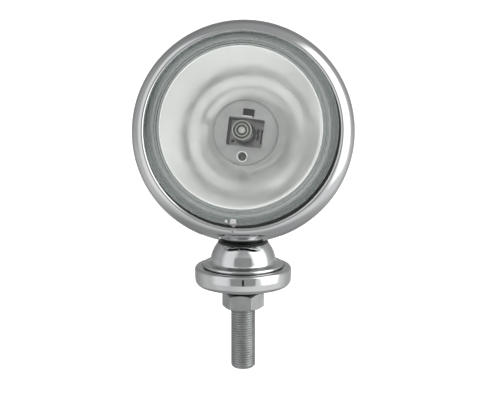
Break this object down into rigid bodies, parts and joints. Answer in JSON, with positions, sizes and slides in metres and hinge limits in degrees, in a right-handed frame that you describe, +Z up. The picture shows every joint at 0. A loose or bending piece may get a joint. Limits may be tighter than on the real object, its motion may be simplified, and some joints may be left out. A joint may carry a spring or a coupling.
{
  "type": "swivel work lamp",
  "caption": "Round chrome work lamp with a clear lens and bright reflector, on a ball swivel base with a threaded mounting stud.",
  "frame": {"origin": "centre of the base disc's underside, on the mounting stud's axis", "axes": "+Z up along the stud's axis towards the lamp, the lamp faces -Y and leans back 15 degrees at rest, +X to the right of someone looking at the lens"},
  "size_m": [0.1142, 0.0908, 0.181],
  "materials": {
    "chrome": "bright chrome plate over pressed steel and die-cast zinc",
    "zinc_steel": "satin zinc-plated steel",
    "spring_steel": "dark phosphated spring steel",
    "bright_steel": "bright spring steel",
    "black_nylon": "moulded black nylon",
    "clear_glass": "clear pressed glass with a thick bevelled rim",
    "black_rubber": "black moulded rubber",
    "bright_reflector": "vacuum-metallised parabolic reflector",
    "plate_aluminium": "matt aluminium pressing",
    "bulb_quartz": "clear quartz bulb",
    "tungsten": "coiled tungsten filament and its supports",
    "lead_sheath": "black insulated lead",
    "terminal_sleeve": "red insulated bullet terminal"
  },
  "bodies": {
    "base": {"base_disc": "chrome", "mounting_stud": "zinc_steel", "swivel_dome": "chrome", "dome_screws": "zinc_steel", "seat_ring": "black_nylon", "clamp_plate": "zinc_steel"},
    "swivel": {"swivel_bolt": "zinc_steel", "swivel_spring": "spring_steel", "swivel_washer": "zinc_steel", "swivel_nut": "zinc_steel"},
    "head": {"swivel_ball": "chrome", "shell": "chrome", "trim_ring": "chrome", "ring_screw": "zinc_steel", "ring_clip": "bright_steel", "lens": "clear_glass", "lens_gasket": "black_rubber", "reflector": "bright_reflector", "bulb_plate": "plate_aluminium", "bulb_glass": "bulb_quartz", "bulb_filament": "tungsten", "bulb_base": "bright_steel", "bulb_strap": "bright_steel", "strap_screw": "bright_steel", "bulb_lead": "lead_sheath", "lead_terminal": "terminal_sleeve", "grommet": "black_rubber"},
    "washer": {"lock_washer": "spring_steel"},
    "nut": {"mounting_nut": "zinc_steel"}
  },
  "joints": [
    {"name": "swivel_pan", "type": "hinge", "parent": "base", "child": "swivel", "pos_m": [0, 0, 0.0335], "axis": [0, 0, 1], "continuous": true},
    {"name": "head_tilt", "type": "hinge", "parent": "swivel", "child": "head", "pos_m": [0, 0, 0.0335], "axis": [1, 0, 0], "range_deg": [-8, 15]},
    {"name": "nut_run", "type": "slide", "parent": "base", "child": "washer", "axis": [0, 0, -1], "range_m": [0, 0.0304]},
    {"name": "nut_spin", "type": "hinge", "parent": "washer", "child": "nut", "pos_m": [0, 0, 0], "axis": [0, 0, -1], "range_deg": [0, 8640]}
  ],
  "couplings": [
    {"joint": "nut_spin", "follows": "nut_run", "rad_per_m": 4947.4}
  ]
}
